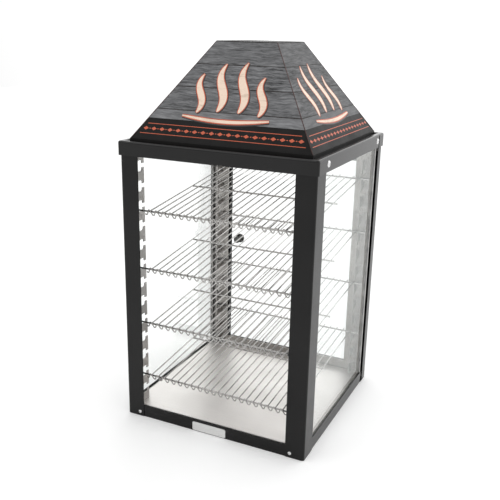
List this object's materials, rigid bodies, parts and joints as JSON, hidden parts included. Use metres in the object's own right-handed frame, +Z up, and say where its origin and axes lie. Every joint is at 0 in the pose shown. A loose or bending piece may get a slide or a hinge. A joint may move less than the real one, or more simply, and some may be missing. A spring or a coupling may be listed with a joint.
{
  "type": "heated food merchandiser",
  "caption": "Counter-top heated display cabinet with glass walls, tilted wire racks in slotted uprights, a glazed rear door and a pyramid sign over the heater.",
  "frame": {"origin": "centre of the underside of the cabinet body, on the counter", "axes": "+X to the right as seen from the front, +Y to the rear where the door is, +Z up"},
  "size_m": [0.398, 0.4032, 0.741],
  "materials": {
    "black_paint": "gloss black powder coat",
    "black_rubber": "matt extruded rubber",
    "stainless": "brushed stainless sheet",
    "rack_wire": "bright plated wire",
    "clear_glass": "clear toughened glass",
    "sign_print": null,
    "knob_steel": "polished metal",
    "control_plastic": "moulded black plastic",
    "lamp_red": "translucent red",
    "zinc_steel": "zinc-plated sheet",
    "element_sheath": "oxidised heating sheath",
    "motor_case": "dark motor casing",
    "screw_steel": "bright screws",
    "bush_nylon": "white nylon"
  },
  "bodies": {
    "cabinet": {"base_frame": "black_paint", "lower_hinge_pin": "screw_steel", "front_left_post": "black_paint", "front_right_post": "black_paint", "rear_left_post": "black_paint", "rear_right_post": "black_paint", "rear_frame": "stainless", "top_frame": "black_paint", "upper_hinge_bracket": "zinc_steel", "floor_pan": "stainless", "ceiling_panel": "stainless", "top_cap": "black_paint", "front_glass": "clear_glass", "front_glass_seal": "black_rubber", "left_glass": "clear_glass", "left_glass_seal": "black_rubber", "right_glass": "clear_glass", "right_glass_seal": "black_rubber", "front_left_upright": "stainless", "front_right_upright": "stainless", "rear_left_upright": "stainless", "rear_right_upright": "stainless", "magnet_catch": "control_plastic", "sign_shell": "sign_print", "control_panel": "stainless", "panel_screws": "screw_steel", "thermostat_body": "control_plastic", "power_switch_housing": "control_plastic", "indicator_light": "lamp_red", "cord_gland": "control_plastic", "heater_housing": "zinc_steel", "fan_motor": "motor_case", "heating_element": "element_sheath", "terminal_block": "bush_nylon", "cap_screws": "screw_steel", "frame_screws": "screw_steel"},
    "rear_door": {"door_frame": "black_paint", "door_glass": "clear_glass", "door_glass_bead": "black_rubber", "door_gasket": "black_rubber", "hinge_bushes": "bush_nylon", "door_knob": "knob_steel", "knob_screw": "screw_steel", "strike_plate": "zinc_steel"},
    "fan": {"fan_wheel": "zinc_steel"},
    "thermostat_dial": {"thermostat_knob": "control_plastic"},
    "power_rocker_body": {"power_rocker": "control_plastic"},
    "rack_body_1": {"rack_1": "rack_wire"},
    "rack_body_2": {"rack_2": "rack_wire"},
    "rack_body_3": {"rack_3": "rack_wire"},
    "rack_body_4": {"rack_4": "rack_wire"}
  },
  "joints": [
    {"name": "door_hinge", "type": "hinge", "parent": "cabinet", "child": "rear_door", "pos_m": [0.1885, 0.1855, 0.268], "axis": [0, 0, -1], "range_deg": [0, 110]},
    {"name": "fan_spin", "type": "hinge", "parent": "cabinet", "child": "fan", "pos_m": [0, 0, 0.6], "axis": [0, 0, 1], "continuous": true},
    {"name": "thermostat_turn", "type": "hinge", "parent": "cabinet", "child": "thermostat_dial", "pos_m": [0.058, 0.14891, 0.60852], "axis": [0, -0.8405, -0.5419], "range_deg": [0, 270]},
    {"name": "power_rock", "type": "hinge", "parent": "cabinet", "child": "power_rocker_body", "pos_m": [-0.044, 0.14992, 0.60917], "axis": [1, 0, 0], "range_deg": [0, 16]},
    {"name": "rack_1_lift", "type": "slide", "parent": "cabinet", "child": "rack_body_1", "axis": [0, 0, 1], "range_m": [0, 0.0165]},
    {"name": "rack_2_lift", "type": "slide", "parent": "cabinet", "child": "rack_body_2", "axis": [0, 0, 1], "range_m": [0, 0.0165]},
    {"name": "rack_3_lift", "type": "slide", "parent": "cabinet", "child": "rack_body_3", "axis": [0, 0, 1], "range_m": [0, 0.0165]},
    {"name": "rack_4_lift", "type": "slide", "parent": "cabinet", "child": "rack_body_4", "axis": [0, 0, 1], "range_m": [0, 0.0165]}
  ]
}
